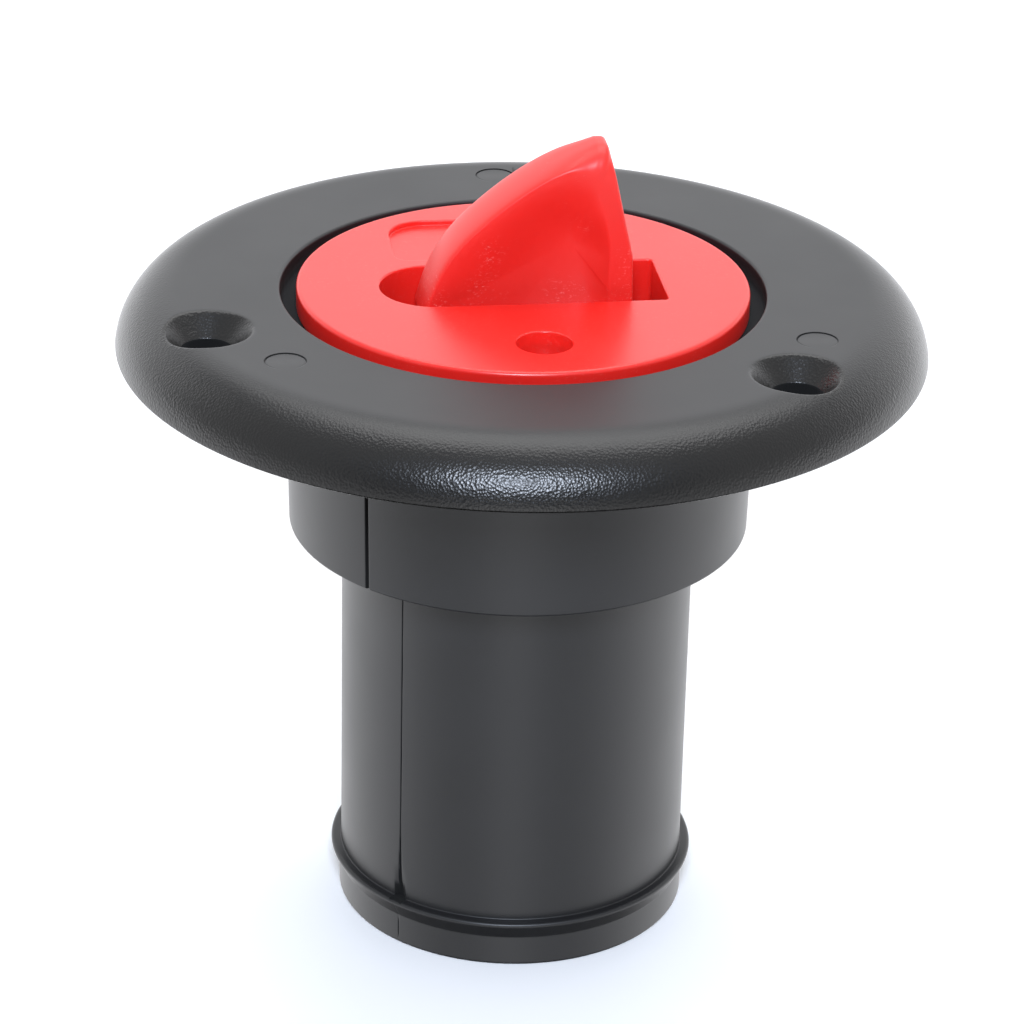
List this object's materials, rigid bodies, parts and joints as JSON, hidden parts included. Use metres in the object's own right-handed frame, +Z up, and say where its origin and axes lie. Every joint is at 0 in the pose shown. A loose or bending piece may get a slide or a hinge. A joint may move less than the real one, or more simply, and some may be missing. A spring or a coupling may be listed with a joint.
{
  "type": "deck filler with fold-down lever cap",
  "caption": "Flush round deck filler with countersunk flange, straight hose tail and a threaded red cap turned by a fold-down lever.",
  "frame": {"origin": "centre of the three deck screws' circle, on the flange's underside, where it sits on the deck", "axes": "+Z up out of the deck, along the hose tail's axis; +X along the lever slot, from its finger scoop towards its hinge"},
  "size_m": [0.0858, 0.0858, 0.0879],
  "materials": {
    "black_nylon": "spark-eroded satin on the flange, smooth satin on neck and tail",
    "red_nylon": "smooth semi-gloss moulding",
    "stainless_steel": "drawn",
    "nitrile_rubber": "matt"
  },
  "bodies": {
    "fitting": {"deck_fitting": "black_nylon"},
    "seal": {"cap_seal": "nitrile_rubber"},
    "screw_cap": {"cap": "red_nylon", "hinge_pin": "stainless_steel"},
    "fold_lever": {"lever": "red_nylon"}
  },
  "joints": [
    {"name": "cap_lift", "type": "slide", "parent": "fitting", "child": "seal", "axis": [0, 0, 1], "range_m": [0, 0.01]},
    {"name": "cap_turn", "type": "hinge", "parent": "seal", "child": "screw_cap", "pos_m": [0, 0, 0], "axis": [0, 0, 1], "range_deg": [0, 900]},
    {"name": "lever_fold", "type": "hinge", "parent": "screw_cap", "child": "fold_lever", "pos_m": [0.0086, 0, 0.0021], "axis": [0, -1, 0], "range_deg": [-14.2, 75.8]}
  ],
  "couplings": [
    {"joint": "cap_lift", "follows": "cap_turn", "m_per_rad": 0.00063662}
  ]
}
